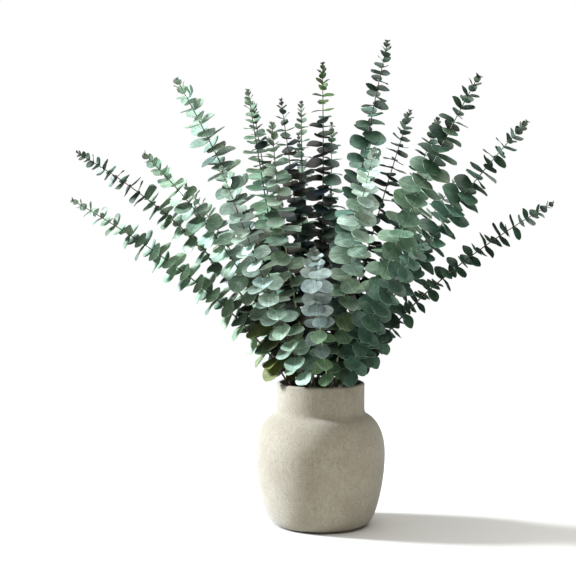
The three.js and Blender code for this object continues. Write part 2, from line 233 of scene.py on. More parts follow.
# Leaf shapes, as shares of a leaf's length: cup, fold, droop, wave, and where the wave starts
LEAF_SHAPES = (
    (0.080, 0.03, 0.05, 0.020, 0.0),
    (0.030, 0.08, 0.10, 0.026, 1.1),
    (0.100, 0.00, -0.03, 0.022, 2.0),
    (-0.03, 0.06, 0.09, 0.030, 3.2),
    (0.060, 0.09, 0.01, 0.028, 4.4),
    (0.015, 0.05, 0.12, 0.022, 5.3),
)

# The pattern of one leaf, as shares of its length
LEAF_RING = 0.2
FOLD_EASE = 0.3
WAVES_ROUND = 3
WAVE_EASE = 4
OVATE = 0.06
POINT_START = 0.99
POINT_LENGTH = 0.025
LOBE_END = 0.1
LOBE_PLACE = 0.2
LOBE_WIDTH = 0.1
LOBE_DEPTH = 0.09
VEIN_ORIGIN = 0.12
VEIN_ANGLE = math.radians(20)
VEIN_STRAY = 0.25
VEIN_SHARE = 0.5
VEINED_LENGTHS = (9, 23)
SHRINK = 0.95

# Widths of the patterns in metres. The streaks of the bark are drawn four times life, and the
# unevenness of the paint ten times, so that they show
CLAY_CLOUD = 0.03
SLIP_STREAK = 0.0025
BARK_STREAK = 0.0012
WAX_PATCH = 0.009
PAINT_PATCH = 0.6

MERGE_DISTANCE = 1e-6
FLOOR_SIDES = 64
TOP_WIDTH = math.radians(80)
FRONT_WIDTH = math.radians(70)
FRONT_SIDE = (0.7, -0.5, 0.5)

# Sockets of a Mix node that mixes colours
MIX_A, MIX_B, MIX_RESULT = 6, 7, 2

# Camera, set from the photograph: its place in metres, its fall and its lens
CAMERA_PLACE = (-0.0409, -1.8, 0.421)
CAMERA_FALL = math.radians(3.893)
CAMERA_LENS = 90
SENSOR_WIDTH = 36


def linear(colour):
    """The linear value of an sRGB hex colour."""
    shares = [int(colour[place : place + 2], 16) / 255 for place in (1, 3, 5)]
    return tuple(s / 12.92 if s <= 0.04045 else ((s + 0.055) / 1.055) ** 2.4 for s in shares)


def colour_property(name, description, colour):
    return FloatVectorProperty(
        name=name, description=description, default=linear(colour), subtype="COLOR", min=0, max=1
    )


def length_property(name, description, default):
    return FloatProperty(name=name, description=description, default=default, unit="LENGTH")


def angle_property(name, description, degrees):
    return FloatProperty(
        name=name, description=description, default=math.radians(degrees), subtype="ANGLE"
    )


class VaseSettings(bpy.types.PropertyGroup):
    """Sizes and colours of the vase."""

    sides: IntProperty(name="Sides", description="Faces round the vase", default=128, min=24)
    clay: colour_property("Clay", "Colour of the bare fired clay", "#958b78")
    pale_clay: colour_property("Pale clay", "Colour where the slip lies thicker", "#a49d8a")
    slip_dust: colour_property("Slip dust", "Colour of the dry film that catches the light", "#dbe9f1")
    speck: colour_property("Specks", "Colour of the iron specks", "#6d6254")
    speck_spacing: length_property("Speck spacing", "Distance from speck to speck", 0.0028)
    grain: length_property("Grain", "Width of the grog grains in the surface", 0.0011)


class StemSettings(bpy.types.PropertyGroup):
    """Sizes and colours of the stems."""

    rim_radius: length_property("Radius at the rim", "Stem radius at the rim", 0.0013)
    tip_radius: length_property("Radius at the tip", "Stem radius at the tip", 0.0005)
    swelling: FloatProperty(
        name="Node swelling", description="Radius at a pair of leaves, as a share", default=1.22, min=1
    )
    sides: IntProperty(name="Sides", description="Faces round a stem", default=8, min=5)
    brown: colour_property("Brown bark", "Colour of a brown stem", "#5a4a40")
    grey: colour_property("Grey bark", "Colour of a grey-green stem", "#737d66")
    pale: colour_property("Pale bark", "Colour of a pale green stem", "#a3ae86")
    shoot: colour_property("Shoot", "Colour of the last growth at the tips", "#76684f")


class LeafSettings(bpy.types.PropertyGroup):
    """Sizes and colours of the leaves."""

    sides: IntProperty(name="Sides", description="Corners round a leaf, by fours", default=16, min=8)
    thickness: FloatProperty(
        name="Thickness", description="Thickness as a share of a leaf's length", default=0.02
    )
    frost: colour_property("Frost", "Leaf with the thickest wax", "#aabfb1")
    mint: colour_property("Mint", "Pale minty leaf", "#889f8b")
    jade: colour_property("Jade", "Light yellower leaf", "#83a27c")
    sage: colour_property("Sage", "Grey-green leaf", "#6d886f")
    teal: colour_property("Teal", "Blue-green leaf", "#4e6c5b")
    deep: colour_property("Deep", "Dark green leaf", "#314c39")
    fresh: colour_property("Fresh", "Bright green leaf", "#44652b")
    olive: colour_property("Olive", "Old yellowing leaf", "#656f37")
    silver: colour_property("Silver", "Young leaf with a bluish bloom", "#6d7c76")
    bud: colour_property("Bud", "Leaflets at the very tips", "#5f5040")
    vein_light: FloatProperty(
        name="Veins", description="How much lighter the veins and the margin are", default=1.3, min=0
    )
    wax: colour_property("Wax", "Colour of the waxy bloom underneath", "#b4c6ba")


class StageSettings(bpy.types.PropertyGroup):
    """Floor and light."""

    floor_radius: length_property("Floor radius", "Reach of the floor", 1.3)
    floor_colour: colour_property("Floor", "Colour of the floor", "#cccbc6")
    key_strength: FloatProperty(name="Key", description="Strength of the light from the left", default=9.5)
    key_side: angle_property("Key side", "How far behind the object the key light stands", 12)
    key_height: angle_property("Key height", "Height of the key light", 27)
    key_softness: angle_property("Key softness", "Width of the key light", 11)
    key_colour: colour_property("Key colour", "Colour of the key light", "#eef4ff")
    top_strength: FloatProperty(name="Top", description="Strength of the light from above", default=3.5)
    front_strength: FloatProperty(
        name="Front", description="Strength of the light from the front right", default=0.45
    )
    front_colour: colour_property("Front colour", "Colour of the light from the front right", "#fff3e4")
    fill: FloatProperty(name="Fill", description="Light from all round", default=0.05)
    backdrop: FloatProperty(name="Backdrop", description="Brightness of the backdrop", default=1.0)


def unit(vector):
    return vector / np.linalg.norm(vector)


def between(low, high, share):
    return low + (high - low) * share


def ease(share):
    clamped = min(1, max(0, share))
    return clamped * clamped * (3 - 2 * clamped)


def chance(*keys):
    """A repeatable draw between 0 and 1."""
    value = math.sin(sum(key * mix for key, mix in zip(keys, DRAW_MIX))) * DRAW_SCALE
    return value - math.floor(value)


def sway(amount, *keys):
    """A repeatable draw between the amount below and above zero."""
    return amount * (2 * chance(*keys) - 1)


class Path:
    """Middle line of a branch: straight from its foot through the rim, then a bow to its tip."""

    def __init__(self, name, plan):
        turn_x = 1 - CROSSING_FLARE * math.cos(CROSSING_TURN)
        turn_y = -CROSSING_FLARE * math.sin(CROSSING_TURN)
        lean = plan.ring * math.hypot(turn_x, turn_y) / CROSSING_DEPTH
        swirl = math.atan2(turn_y, turn_x)
        rim_angle = math.atan2(plan.tip[1], plan.tip[0]) - swirl / 2
        heading = rim_angle + swirl
        self.plan = plan
        self.tip = np.array(plan.tip, float)
        self.rim = np.array(
            [plan.ring * math.cos(rim_angle), plan.ring * math.sin(rim_angle), RIM_HEIGHT]
        )
        self.rise = unit(np.array([lean * math.cos(heading), lean * math.sin(heading), 1]))
        reach = plan.reach * np.linalg.norm(self.tip - self.rim)
        self.knee = self.rim + self.rise * reach
        self.side = unit(np.cross(self.rise, self.tip - self.rim))
        spots = np.array([self.at(step / PATH_STEPS) for step in range(PATH_STEPS + 1)])
        steps = np.linalg.norm(np.diff(spots, axis=0), axis=1)
        self.lengths = np.concatenate([[0], np.cumsum(steps)])
        self.length = self.lengths[-1]
        self.foot = self.find_foot(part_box("branch_" + name)[0].z / MM)

    def at(self, share):
        rest = 1 - share
        return self.rim * rest * rest + self.knee * 2 * rest * share + self.tip * share * share

    def along(self, share):
        return unit(self.rim * (share - 1) + self.knee * (1 - 2 * share) + self.tip * share)

    def share_at(self, distance):
        step = int(np.searchsorted(self.lengths[1:PATH_STEPS], distance)) + 1
        start = self.lengths[step - 1]
        return (step - 1 + (distance - start) / (self.lengths[step] - start)) / PATH_STEPS

    def grip(self, share):
        return between(GRIP_RADIUS_RIM, GRIP_RADIUS_TIP, share)

    def find_foot(self, lowest):
        """The solid's lowest corner gives the height of the cut end."""
        tilt = math.hypot(self.rise[0], self.rise[1])
        height = lowest + FOOT_RISE * tilt
        return self.rim - self.rise * (RIM_HEIGHT - height) / self.rise[2]

    def pair_distances(self):
        """Pairs stand closest together at the tip."""
        distances = []
        from_tip = FIRST_PAIR
        while from_tip < self.length - BARE_LENGTH:
            distances.append(self.length - from_tip)
            from_tip += min(FULL_SPACING, FIRST_SPACING + SPACING_GROWTH * (len(distances) - 1))
        return distances


class Leaf:
    """Where a leaf grows, which way it points and faces, and how large it is."""

    def __init__(self, path, branch, pair, side, distance, way):
        plan = path.plan
        from_tip = path.length - distance
        keys = (branch, pair, side)
        self.branch, self.pair, self.keys = branch, pair, keys
        # Share of painted shade in the leaf's colour, set once all leaves have grown
        self.cover = 0
        self.share = path.share_at(distance)
        axis = path.along(self.share)
        lean = between(TIP_LEAN_SHARE, LEAN_SHARE, ease(from_tip / LEAN_LENGTH))
        axis[1] = between(axis[1], LEAN_TO_FRONT, lean)
        axis = unit(axis)
        young = ease(from_tip / YOUNG_LENGTH)
        old = ease((from_tip - YOUNG_LENGTH) / (path.length - YOUNG_LENGTH))
        lift = between(between(TIP_LIFT, YOUNG_LIFT, young), plan.lift, old)
        lift = math.radians(lift + sway(LIFT_SWAY, *keys, LIFT_DRAW) + way[1])
        spin = plan.turn + 90 * pair + 180 * side + sway(SPIN_SWAY, *keys, SPIN_DRAW) + way[0]
        spin = math.radians(spin)
        sideways = unit(path.side - axis * (path.side @ axis))
        out = np.cross(axis, sideways) * math.cos(spin) + sideways * math.sin(spin)
        roll = math.radians(sway(ROLL_SWAY, *keys, ROLL_DRAW))
        grown = between(TIP_SIZE, 1, min(1, from_tip / plan.growing) ** GROWING_PACE)
        size = 1 + sway(SIZE_SWAY, *keys, SIZE_DRAW)
        self.length = plan.leaf * grown * way[2] * size + COVERED_LENGTH
        self.width = self.length * between(YOUNG_BREADTH, OLD_BREADTH, grown)
        self.lay(path.at(self.share) + out * path.grip(self.share) * ROOT_DEPTH, out, axis, lift, roll)

    def lay(self, root, out, axis, lift, roll):
        self.root = root
        self.along = out * math.cos(lift) + axis * math.sin(lift)
        flat = axis * math.cos(lift) - out * math.sin(lift)
        self.facing = flat * math.cos(roll) + np.cross(self.along, flat) * math.sin(roll)
        self.across = np.cross(self.facing, self.along)
        self.centre = root + self.along * self.length / 2
        self.reach = max(self.length, self.width) / 2
        angles = 2 * np.pi * np.arange(RING_SAMPLES) / RING_SAMPLES
        self.ring = self.centre + self.reach * (
            np.outer(np.cos(angles), self.along) + np.outer(np.sin(angles), self.across)
        )


def distance_to_disc(places, centre, facing, reach):
    """Distance from places to a round leaf; the leading axes of all of them go together."""
    offset = places - centre
    height = np.sum(offset * facing, axis=-1)
    level = offset - facing * height[..., None]
    outward = np.linalg.norm(level, axis=-1) - reach
    return np.hypot(height, np.maximum(0, outward))


class Bunch:
    """All branches, and the leaves that have room on them."""

    def __init__(self):
        self.paths = [Path(name, plan) for name, plan in BRANCHES.items()]
        self.places = [path.pair_distances() for path in self.paths]
        self.leaves = []
        self.taken = set()
        self.centres = np.zeros((LEAF_LIMIT, 3))
        self.facings = np.zeros((LEAF_LIMIT, 3))
        self.rings = np.zeros((LEAF_LIMIT, RING_SAMPLES, 3))
        self.reaches = np.zeros(LEAF_LIMIT)
        self.branches = np.zeros(LEAF_LIMIT, int)
        self.pairs = np.zeros(LEAF_LIMIT, int)
        self.find_stem_spots()

    def find_stem_spots(self):
        spots, radii, branches = [], [], []
        for branch, path in enumerate(self.paths):
            count = math.ceil(path.length / STEM_SAMPLE)
            for step in range(count + 1):
                spots.append(path.at(step / count))
                radii.append(path.grip(step / count))
                branches.append(branch)
        self.stem_spots = np.array(spots)
        self.stem_radii = np.array(radii)
        self.stem_branches = np.array(branches)

    def meets_vase(self, leaf):
        """Leaves keep above the rim, or hang clear outside the neck."""
        radius = np.hypot(leaf.ring[:, 0], leaf.ring[:, 1])
        beside = (radius > NECK_RADIUS + NECK_ROOM) & (leaf.ring[:, 2] > NECK_HEIGHT + SHOULDER_ROOM)
        return bool(np.any((leaf.ring[:, 2] < RIM_HEIGHT + NECK_ROOM) & ~beside))

    def meets_leaf(self, leaf, room):
        count = len(self.leaves)
        same = self.branches[:count] == leaf.branch
        margin = np.where(same, room[1], room[0])
        gaps = np.linalg.norm(self.centres[:count] - leaf.centre, axis=1)
        near = gaps <= self.reaches[:count] + leaf.reach + margin
        near &= ~(same & (self.pairs[:count] == leaf.pair))
        if not near.any():
            return False
        margin = margin[near, None]
        centres, facings, reaches = self.centres[:count], self.facings[:count], self.reaches[:count]
        there = distance_to_disc(
            leaf.ring[None], centres[near, None], facings[near, None], reaches[near, None]
        )
        if np.any(there < margin):
            return True
        here = distance_to_disc(self.rings[:count][near], leaf.centre, leaf.facing, leaf.reach)
        return bool(np.any(here < margin))

    def meets_stem(self, leaf, room):
        others = self.stem_branches != leaf.branch
        gaps = distance_to_disc(self.stem_spots[others], leaf.centre, leaf.facing, leaf.reach)
        return bool(np.any(gaps < self.stem_radii[others] + room[2]))

    def leaves_box(self, leaf):
        low, high = (np.array(corner) / MM for corner in CAD_BOX)
        return bool(np.any(leaf.ring < low + BOX_ROOM) or np.any(leaf.ring > high - BOX_ROOM))

    def has_room(self, leaf, room):
        return not (
            self.meets_vase(leaf) or self.meets_leaf(leaf, room) or self.meets_stem(leaf, room)
        )

    def add(self, leaf):
        count = len(self.leaves)
        self.centres[count] = leaf.centre
        self.facings[count] = leaf.facing
        self.rings[count] = leaf.ring
        self.reaches[count] = leaf.reach
        self.branches[count] = leaf.branch
        self.pairs[count] = leaf.pair
        self.leaves.append(leaf)
        self.taken.add(leaf.keys)

    def grow(self, branch, pair, side, ways, room, boxed):
        distance = self.places[branch][pair]
        for way in ways:
            leaf = Leaf(self.paths[branch], branch, pair, side, distance, way)
            if boxed and self.leaves_box(leaf):
                continue
            if self.has_room(leaf, room):
                self.add(leaf)
                return

    def grow_first(self):
        """The leaves that the solids have: all branches fill up together from their tips."""
        for pair in range(max(len(distances) for distances in self.places)):
            if pair % PAIRS_IN_ROUND not in PAIRS_BUILT:
                continue
            side = pair // PAIRS_IN_ROUND % 2
            for branch, distances in enumerate(self.places):
                if pair < len(distances):
                    self.grow(branch, pair, side, WAYS, FIRST_ROOM, False)

    def grow_later(self):
        """The other leaf of each pair, and both leaves of the pairs left out so far."""
        for pair in range(max(len(distances) for distances in self.places)):
            for branch, distances in enumerate(self.places):
                if pair >= len(distances):
                    continue
                for side in (0, 1):
                    if (branch, pair, side) not in self.taken:
                        self.grow(branch, pair, side, WAYS + TIGHT_WAYS, LATER_ROOM, True)

    def measure_painted_shade(self):
        """How many leaves stand between each leaf and the light, as a share of the most, which sets the
        painted shade.
        """
        count = len(self.leaves)
        offsets = self.centres[None, :count] - self.centres[:count, None]
        spans = np.linalg.norm(offsets, axis=2) + np.eye(count)
        sides = self.centres[:count] * (1, 1, 0)
        sides /= np.linalg.norm(sides, axis=1)[:, None]
        sides[:, 2] = LIGHT_STEEPNESS
        sides /= np.linalg.norm(sides, axis=1)[:, None]
        over = np.einsum("ijk,ik->ij", offsets, sides) / spans > COVER_SLOPE
        covers = np.sum(over & (spans < COVER_REACH), axis=1)
        for leaf, cover in zip(self.leaves, covers):
            leaf.cover = ease((cover - OPEN_COVER) / (FULL_COVER - OPEN_COVER))


@cache
def grown_bunch():
    bunch = Bunch()
    bunch.grow_first()
    bunch.grow_later()
    bunch.measure_painted_shade()
    return bunch


def finish_mesh(name, bm):
    mesh = bpy.data.meshes.new(name)
    bm.to_mesh(mesh)
    bm.free()
    return mesh


def put_in_scene(name, data):
    made = bpy.data.objects.new(name, data)
    bpy.context.scene.collection.objects.link(made)
    return made


def finish_piece(name, bm, material, node):
    """Makes the bmesh an object that rides on the root body and stands for the node."""
    mesh = finish_mesh(name, bm)
    mesh.materials.append(material)
    piece = put_in_scene(name, mesh)
    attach(piece, "root")
    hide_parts(node)


def add_node(tree, kind, inputs=None, **settings):
    """Adds a shader node: settings go on the node itself, inputs are values, nodes or outputs."""
    made = tree.nodes.new("ShaderNode" + kind)
    for name, value in settings.items():
        setattr(made, name, value)
    for socket, value in (inputs or {}).items():
        if isinstance(value, bpy.types.Node):
            value = value.outputs[0]
        if isinstance(value, bpy.types.NodeSocket):
            tree.links.new(value, made.inputs[socket])
        else:
            made.inputs[socket].default_value = value
    return made


def new_material(name):
    material = bpy.data.materials.new(name)
    material.use_nodes = True
    material.node_tree.nodes.clear()
    return material, material.node_tree


def opaque(colour):
    return (*colour[:3], 1)


def stoneware_material(settings):
    """Stoneware thrown on a wheel and left matt under a thin slip: dry to the eye, with grog
    grains, iron specks and faint upright streaks where the slip ran."""
    material, tree = new_material("stoneware, thrown, matt slip")
    place = add_node(tree, "TexCoord").outputs["Object"]
    clouds = add_node(
        tree, "TexNoise", {"Vector": place, "Scale": 1 / CLAY_CLOUD, "Detail": 4, "Roughness": 0.55}
    )
    stretched = add_node(tree, "Mapping", {"Vector": place, "Scale": (1, 1, 0.3)})
    streaks = add_node(tree, "TexNoise", {"Vector": stretched, "Scale": 1 / SLIP_STREAK, "Detail": 4})
    slip = add_node(tree, "Math", {0: clouds, 1: streaks}, operation="ADD")
    share = add_node(tree, "MapRange", {"Value": slip, "From Min": 0.75, "From Max": 1.3})
    clay = add_node(
        tree, "Mix",
        {"Factor": share, MIX_A: opaque(settings.clay), MIX_B: opaque(settings.pale_clay)},
        data_type="RGBA",
    )
    spots = add_node(tree, "TexVoronoi", {"Vector": place, "Scale": 1 / settings.speck_spacing})
    kind = add_node(tree, "SeparateColor", {"Color": spots.outputs["Color"]})
    size = add_node(tree, "MapRange", {"Value": kind, "To Min": -0.12, "To Max": 0.3})
    depth = add_node(tree, "Math", {0: size, 1: spots.outputs["Distance"]}, operation="SUBTRACT")
    speck = add_node(
        tree, "MapRange", {"Value": depth, "From Min": -0.02, "From Max": 0.05, "To Max": 0.75}
    )
    specked = add_node(
        tree, "Mix",
        {"Factor": speck, MIX_A: clay.outputs[MIX_RESULT], MIX_B: opaque(settings.speck)},
        data_type="RGBA",
    )
    grains = add_node(tree, "TexNoise", {"Vector": place, "Scale": 1 / settings.grain, "Detail": 3})
    grain_shade = add_node(
        tree, "MapRange",
        {"Value": grains, "From Min": 0.3, "From Max": 0.7, "To Min": 0.8, "To Max": 1.16},
    )
    colour = add_node(
        tree, "VectorMath", {0: specked.outputs[MIX_RESULT], 1: grain_shade}, operation="MULTIPLY"
    )
    relief = add_node(tree, "Math", {0: grains, 1: speck}, operation="SUBTRACT")
    bump = add_node(tree, "Bump", {"Height": relief, "Strength": 0.5, "Distance": 0.0004})
    shader = add_node(
        tree, "BsdfPrincipled",
        {
            "Base Color": colour, "Roughness": 0.92, "IOR": 1.5, "Specular IOR Level": 0.3,
            "Sheen Weight": 0.3, "Sheen Roughness": 0.6, "Sheen Tint": opaque(settings.slip_dust),
            "Normal": bump,
        },
    )
    add_node(tree, "OutputMaterial", {"Surface": shader})
    return material


def stem_material():
    """Green eucalyptus bark as it grew: smooth with a faint gloss, and fine streaks along it."""
    material, tree = new_material("eucalyptus bark, young, smooth")
    place = add_node(tree, "TexCoord").outputs["Object"]
    tint = add_node(tree, "Attribute", attribute_name="tint")
    stretched = add_node(tree, "Mapping", {"Vector": place, "Scale": (1, 1, 0.2)})
    streaks = add_node(tree, "TexNoise", {"Vector": stretched, "Scale": 1 / BARK_STREAK, "Detail": 3})
    shade = add_node(
        tree, "MapRange",
        {"Value": streaks, "From Min": 0.3, "From Max": 0.7, "To Min": 0.75, "To Max": 1.2},
    )
    colour = add_node(tree, "VectorMath", {0: tint.outputs["Color"], 1: shade}, operation="MULTIPLY")
    bump = add_node(tree, "Bump", {"Height": streaks, "Strength": 0.4, "Distance": 0.0002})
    shader = add_node(
        tree, "BsdfPrincipled",
        {"Base Color": colour, "Roughness": 0.55, "IOR": 1.45, "Specular IOR Level": 0.4, "Normal": bump},
    )
    add_node(tree, "OutputMaterial", {"Surface": shader})
    return material


def leaf_material(settings):
    """Eucalyptus leaf as it grew, under a waxy bloom: satin and slightly milky, with pale veins
    that fan out of the midrib, a thin pale margin, and a greyer underside."""
    material, tree = new_material("eucalyptus leaf, grown, waxy bloom")
    place = add_node(tree, "TexCoord").outputs["Object"]
    tint = add_node(tree, "Attribute", attribute_name="tint")
    chart = add_node(tree, "UVMap", uv_map="leaf")
    spot = add_node(tree, "SeparateXYZ", {"Vector": chart})
    centred = add_node(tree, "Math", {0: spot.outputs["Y"], 1: 0.5}, operation="SUBTRACT")
    aside = add_node(tree, "Math", {0: centred}, operation="ABSOLUTE")
    # The veins are drawn up to 1 mm wide, twice life, so that they show
    midrib = add_node(
        tree, "MapRange",
        {"Value": aside, "From Min": 0.008, "From Max": 0.035, "To Min": 0.8, "To Max": 0},
        interpolation_type="SMOOTHSTEP",
    )
    along = add_node(tree, "Math", {0: spot.outputs["X"], 1: VEIN_ORIGIN}, operation="ADD")
    turned = add_node(tree, "Math", {0: aside, 1: along}, operation="ARCTAN2")
    strayed = add_node(tree, "TexNoise", {"Vector": chart, "Scale": 3, "Detail": 1})
    bent = add_node(tree, "Math", {0: strayed, 1: VEIN_STRAY, 2: turned}, operation="MULTIPLY_ADD")
    fanned = add_node(tree, "Math", {0: bent, 1: 2 / VEIN_ANGLE}, operation="MULTIPLY")
    step = add_node(tree, "Math", {0: fanned, 1: 1.0}, operation="PINGPONG")
    side_veins = add_node(
        tree, "MapRange",
        {"Value": step, "From Min": 0.04, "From Max": 0.3, "To Min": 0.4, "To Max": 0},
        interpolation_type="SMOOTHSTEP",
    )
    ribs = add_node(tree, "Math", {0: midrib, 1: side_veins}, operation="MAXIMUM")
    fine_veins = add_node(
        tree, "TexVoronoi", {"Vector": chart, "Scale": 14, "Randomness": 0.9}, feature="DISTANCE_TO_EDGE"
    )
    net = add_node(
        tree, "MapRange", {"Value": fine_veins, "From Max": 0.09, "To Min": 0.15, "To Max": 0}
    )
    veins = add_node(tree, "Math", {0: ribs, 1: net}, operation="MAXIMUM")
    middle = add_node(tree, "VectorMath", {0: chart, 1: (0.5, 0.5, 0)}, operation="DISTANCE")
    margin = add_node(
        tree, "MapRange",
        {"Value": middle.outputs["Value"], "From Min": 0.465, "From Max": 0.497, "To Max": 0.55},
    )
    lines = add_node(tree, "Math", {0: veins, 1: margin}, operation="MAXIMUM")
    line_share = add_node(tree, "Math", {0: lines, 1: tint.outputs["Alpha"]}, operation="MULTIPLY")
    patches = add_node(
        tree, "TexNoise", {"Vector": place, "Scale": 1 / WAX_PATCH, "Detail": 4, "Roughness": 0.6}
    )
    bloom = add_node(
        tree, "MapRange",
        {"Value": patches, "From Min": 0.42, "From Max": 0.75, "To Min": 1.0, "To Max": 1.75},
    )
    waxed = add_node(tree, "VectorMath", {0: tint.outputs["Color"], 1: bloom}, operation="MULTIPLY")
    lighter = add_node(
        tree, "Math", {0: line_share, 1: settings.vein_light, 2: 1.0}, operation="MULTIPLY_ADD"
    )
    veined = add_node(tree, "VectorMath", {0: waxed, 1: lighter}, operation="MULTIPLY")
    raised = add_node(tree, "Math", {0: lines, 1: patches}, operation="ADD")
    bump = add_node(tree, "Bump", {"Height": raised, "Strength": 0.35, "Distance": 0.0003})
    shader = add_node(
        tree, "BsdfPrincipled",
        {"Base Color": veined, "Roughness": 0.42, "IOR": 1.45, "Specular IOR Level": 0.5, "Normal": bump},
    )
    add_node(tree, "OutputMaterial", {"Surface": shader})
    return material


def floor_material(settings):
    """Painted studio floor, rolled matt: only a breath of unevenness in its white."""
    material, tree = new_material("studio paint, rolled, matt")
    place = add_node(tree, "TexCoord").outputs["Object"]
    patches = add_node(tree, "TexNoise", {"Vector": place, "Scale": 1 / PAINT_PATCH, "Detail": 2})
    shade = add_node(tree, "MapRange", {"Value": patches, "To Min": 0.985, "To Max": 1.0})
    colour = add_node(
        tree, "VectorMath", {0: settings.floor_colour[:3], 1: shade}, operation="MULTIPLY"
    )
    shader = add_node(tree, "BsdfPrincipled", {"Base Color": colour, "Roughness": 0.95})
    add_node(tree, "OutputMaterial", {"Surface": shader})
    return material


def bezier(start, first, second, end, steps=CURVE_STEPS):
    """Points on a cubic curve, without its first."""
    points = []
    for step in range(1, steps + 1):
        share = step / steps
        rest = 1 - share
        weights = (rest**3, 3 * rest * rest * share, 3 * rest * share * share, share**3)
        points.append(np.dot(weights, (start, first, second, end)).tolist())
    return points


def vase_profile():
    """Radius and height from the middle of the base, up outside, over the lip and down inside. Each
    curve runs from one named spot to the next, with two handles between them."""
    cheek = (68, 13)
    widest = (BODY_RADIUS, BODY_HEIGHT)
    shoulder = (NECK_RADIUS + 3, NECK_HEIGHT - 5)
    neck = (NECK_RADIUS, NECK_HEIGHT + 3)
    base_edge = (BASE_RADIUS, 0)
    outside = [(0, 0), (BASE_RADIUS / 2, 0), base_edge]
    outside += bezier(base_edge, (57.5, 0), (64, 4), cheek)
    outside += bezier(cheek, (75, 31), (BODY_RADIUS, 62), widest)
    outside += bezier(widest, (BODY_RADIUS, 112), (74.5, 132), shoulder)
    outside += bezier(shoulder, (56.5, 141.5), (NECK_RADIUS, 143.5), neck, NECK_CURVE_STEPS)
    lip = []
    for step in range(CURVE_STEPS + 1):
        angle = math.pi * step / CURVE_STEPS
        lip.append((
            NECK_RADIUS - WALL / 2 + WALL / 2 * math.cos(angle),
            RIM_HEIGHT - WALL / 2 + WALL / 2 * math.sin(angle),
        ))
    inner_shoulder = (NECK_RADIUS - 0.5, NECK_HEIGHT - 8.5)
    inner_widest = (BODY_RADIUS - WALL, BODY_HEIGHT)
    inner_cheek = (64, 20)
    floor_edge = (46, FLOOR)
    inside = [(NECK_RADIUS - WALL, NECK_HEIGHT), inner_shoulder]
    inside += bezier(inner_shoulder, (69, 127), (75.3, 111), inner_widest)
    inside += bezier(inner_widest, (75.3, 66), (72, 42), inner_cheek)
    inside += bezier(inner_cheek, (60, 12), (54, FLOOR), floor_edge)
    inside += [(floor_edge[0] / 2, FLOOR), (0, FLOOR)]
    return outside + lip + inside


def vase_mesh(settings):
    bm = bmesh.new()
    verts = [bm.verts.new((radius * MM, 0, height * MM)) for radius, height in vase_profile()]
    edges = [bm.edges.new(pair) for pair in zip(verts, verts[1:])]
    bmesh.ops.spin(
        bm, geom=verts + edges, cent=(0, 0, 0), axis=(0, 0, 1), angle=2 * math.pi,
        steps=settings.sides, use_merge=True,
    )
    bmesh.ops.remove_doubles(bm, verts=bm.verts, dist=MERGE_DISTANCE)
    bmesh.ops.recalc_face_normals(bm, faces=bm.faces)
    for face in bm.faces:
        face.smooth = True
    return bm


def ring_place(path, centre, share, radius):
    """Matrix that takes a flat circle of radius 1 to a ring round the stem."""
    forward = path.along(share)
    across = np.cross(forward, path.side)
    place = np.eye(4)
    place[:3, 0] = path.side * radius * MM
    place[:3, 1] = across * -radius * MM
    place[:3, 2] = forward * radius * MM
    place[:3, 3] = centre * MM
    return Matrix(place.tolist())


def stem_rings(path, settings):
    """Place of each ring from the foot to the tip, with the share of the branch that it is at."""
    rim = settings.rim_radius / MM
    tip = settings.tip_radius / MM
    rings = []
    for step in range(STRAIGHT_STEPS):
        centre = between(path.foot, path.rim, step / STRAIGHT_STEPS)
        rings.append((ring_place(path, centre, 0, rim), 0))
    for distance in sorted(path.pair_distances()):
        for offset, swelling in ((-NODE_LENGTH, 1), (0, settings.swelling), (NODE_LENGTH, 1)):
            reached = min(distance + offset, path.length - END_CLEAR)
            share = path.share_at(reached)
            radius = between(rim, tip, share) * swelling
            rings.append((ring_place(path, path.at(share), share, radius), share))
    rings.append((ring_place(path, path.tip, 1, tip * END_TAPER), 1))
    return rings


def stem_mesh(path, settings):
    bm = bmesh.new()
    tint = bm.verts.layers.float_color.new("tint")
    bark = Vector(getattr(settings, path.plan.stem))
    shoot = Vector(settings.shoot)
    verts = bmesh.ops.create_circle(bm, cap_ends=True, radius=1, segments=settings.sides)["verts"]
    edges = bm.edges[:]
    last = Matrix.Identity(4)
    for ring, (place, share) in enumerate(stem_rings(path, settings)):
        if ring > 0:
            grown = bmesh.ops.extrude_edge_only(bm, edges=edges)["geom"]
            verts = [item for item in grown if isinstance(item, bmesh.types.BMVert)]
            edges = [
                item for item in grown
                if isinstance(item, bmesh.types.BMEdge) and all(vert in verts for vert in item.verts)
            ]
        bmesh.ops.transform(bm, matrix=place @ last.inverted(), verts=verts)
        last = place
        colour = bark.lerp(shoot, ease((share - SHOOT_START) / (1 - SHOOT_START)))
        for vert in verts:
            vert[tint] = (*colour, 1)
    bmesh.ops.edgeloop_fill(bm, edges=edges)
    bmesh.ops.recalc_face_normals(bm, faces=bm.faces)
    for face in bm.faces:
        face.smooth = len(face.verts) == 4
    return bm


def leaf_bend(x, y, shape):
    """Height of the leaf's surface over its plane; x runs from the root to 1, y from -0.5 to 0.5."""
    cup, fold, droop, wave, start = shape
    out = math.hypot(x - 0.5, y) * 2
    round_the_leaf = math.atan2(y, x - 0.5)
    height = cup * (out * out - 1) + fold * (abs(y) * 2 - out * FOLD_EASE) - droop * x * x
    waves = math.sin(WAVES_ROUND * round_the_leaf + start) * min(1, WAVE_EASE * x)
    return height + wave * out**3 * waves


